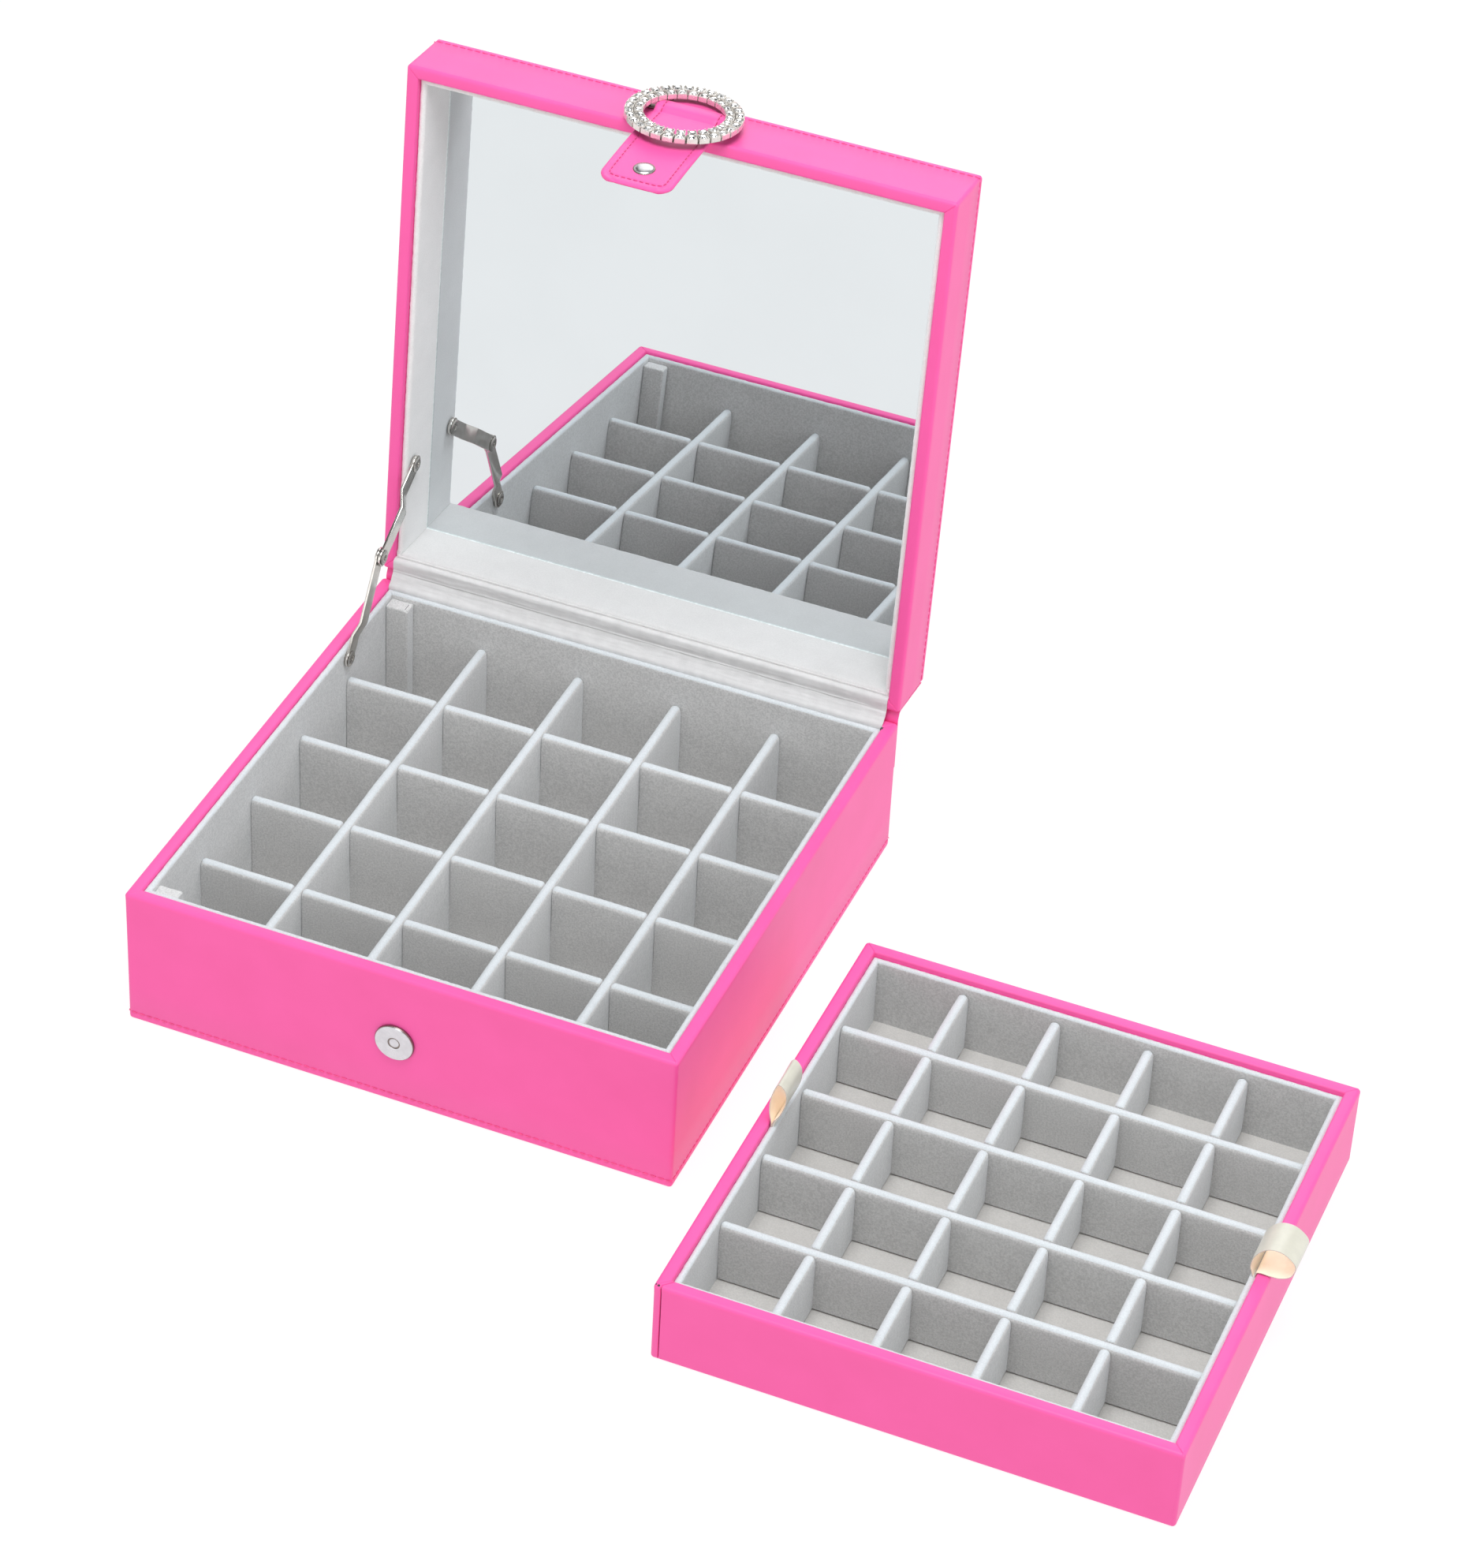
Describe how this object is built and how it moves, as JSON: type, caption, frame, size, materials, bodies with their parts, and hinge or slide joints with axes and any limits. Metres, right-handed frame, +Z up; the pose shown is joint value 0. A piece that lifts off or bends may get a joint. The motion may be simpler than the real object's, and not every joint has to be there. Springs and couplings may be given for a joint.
{
  "type": "earring box",
  "caption": "Leatherette earring box with a mirrored lid on a folding stay, a strap with a stone-set ring and snap, velvet compartments and a lift-out tray with ribbon loops.",
  "frame": {"origin": "centre of the base's underside, on the surface that the box stands on", "axes": "+X to the right along the box's front, +Y to the hinge at the back, +Z up"},
  "size_m": [0.4481, 0.3503, 0.2907],
  "materials": {
    "pink_leatherette": "smooth embossed leatherette with a soft sheen",
    "greyboard": "plain board, hidden under the covering",
    "velvet": "short grey velvet pile",
    "lining_cloth": "thin pale lining cloth with folds",
    "mirror": "plain glass mirror",
    "snap_nickel": "polished nickel",
    "stay_steel": "nickel-plated steel",
    "ring_chrome": "polished",
    "clear_stone": "faceted clear stones with foiled backs",
    "satin_ribbon": "ivory satin ribbon"
  },
  "bodies": {
    "base": {"base_underside_sheet": "pink_leatherette", "base_bottom_board": "greyboard", "base_cover": "pink_leatherette", "base_wall_front": "greyboard", "base_wall_back": "greyboard", "base_wall_left": "greyboard", "base_wall_right": "greyboard", "base_liner_front": "velvet", "base_liner_back": "velvet", "base_liner_left": "velvet", "base_liner_right": "velvet", "base_floor_pad": "velvet", "base_divider_long_1": "velvet", "base_divider_long_2": "velvet", "base_divider_long_3": "velvet", "base_divider_long_4": "velvet", "base_divider_cross_1": "velvet", "base_divider_cross_2": "velvet", "base_divider_cross_3": "velvet", "base_divider_cross_4": "velvet", "base_post_front": "velvet", "base_post_back": "velvet", "snap_socket": "snap_nickel", "snap_socket_washer": "snap_nickel", "stay_base_rivet": "stay_steel", "hinge_cover": "pink_leatherette", "hinge_lining": "lining_cloth"},
    "lid": {"lid_cover": "pink_leatherette", "lid_top_board": "greyboard", "lid_wall_front": "greyboard", "lid_wall_back": "greyboard", "lid_wall_left": "greyboard", "lid_wall_right": "greyboard", "lid_liner_front": "velvet", "lid_liner_back": "velvet", "lid_liner_left": "velvet", "lid_liner_right": "velvet", "lid_mirror": "mirror", "strap_anchor": "pink_leatherette", "ring_frame": "ring_chrome", "ring_cups": "ring_chrome", "ring_stones": "clear_stone"},
    "stay_lower": {"stay_lower_link": "stay_steel", "stay_mid_rivet": "stay_steel"},
    "stay_upper": {"stay_upper_link": "stay_steel", "stay_lid_rivet": "stay_steel"},
    "strap_root": {"strap_root": "pink_leatherette"},
    "strap_flap": {"strap_flap": "pink_leatherette", "snap_stud": "snap_nickel", "snap_cap": "snap_nickel"},
    "tray": {"tray_underside_sheet": "pink_leatherette", "tray_bottom_board": "greyboard", "tray_walls": "greyboard", "tray_cover": "pink_leatherette", "tray_liners": "velvet", "tray_floor_pad": "velvet", "tray_dividers_long": "velvet", "tray_dividers_cross": "velvet", "tray_ribbon_left": "satin_ribbon", "tray_ribbon_right": "satin_ribbon"}
  },
  "joints": [
    {"name": "lid_hinge", "type": "hinge", "parent": "base", "child": "lid", "pos_m": [0, 0.1112, 0.063], "axis": [1, 0, 0], "range_deg": [0, 95.4], "deforming": ["hinge_cover", "hinge_lining"]},
    {"name": "stay_lower_turn", "type": "hinge", "parent": "base", "child": "stay_lower", "pos_m": [-0.1015, 0.0618, 0.0546], "axis": [1, 0, 0], "range_deg": [0, 106.5]},
    {"name": "stay_upper_turn", "type": "hinge", "parent": "stay_lower", "child": "stay_upper", "pos_m": [-0.0989, 0.08454, 0.08932], "axis": [1, 0, 0], "range_deg": [-134.8, 0]},
    {"name": "strap_bend", "type": "hinge", "parent": "lid", "child": "strap_root", "pos_m": [-0.00025, 0.12957, 0.28385], "axis": [-1, 0, 0], "range_deg": [0, 10.8]},
    {"name": "strap_peel", "type": "hinge", "parent": "strap_root", "child": "strap_flap", "pos_m": [-0.00025, 0.11317, 0.28368], "axis": [-1, 0, 0], "range_deg": [0, 60]},
    {"name": "tray_lift", "type": "slide", "parent": "base", "child": "tray", "axis": [0, 0, 1], "range_m": [0, 0.1]}
  ],
  "couplings": [
    {"joint": "stay_lower_turn", "follows": "lid_hinge", "ratio": 1.1133},
    {"joint": "stay_upper_turn", "follows": "lid_hinge", "ratio": -1.4087},
    {"joint": "strap_bend", "follows": "lid_hinge", "ratio": 0.1111}
  ]
}
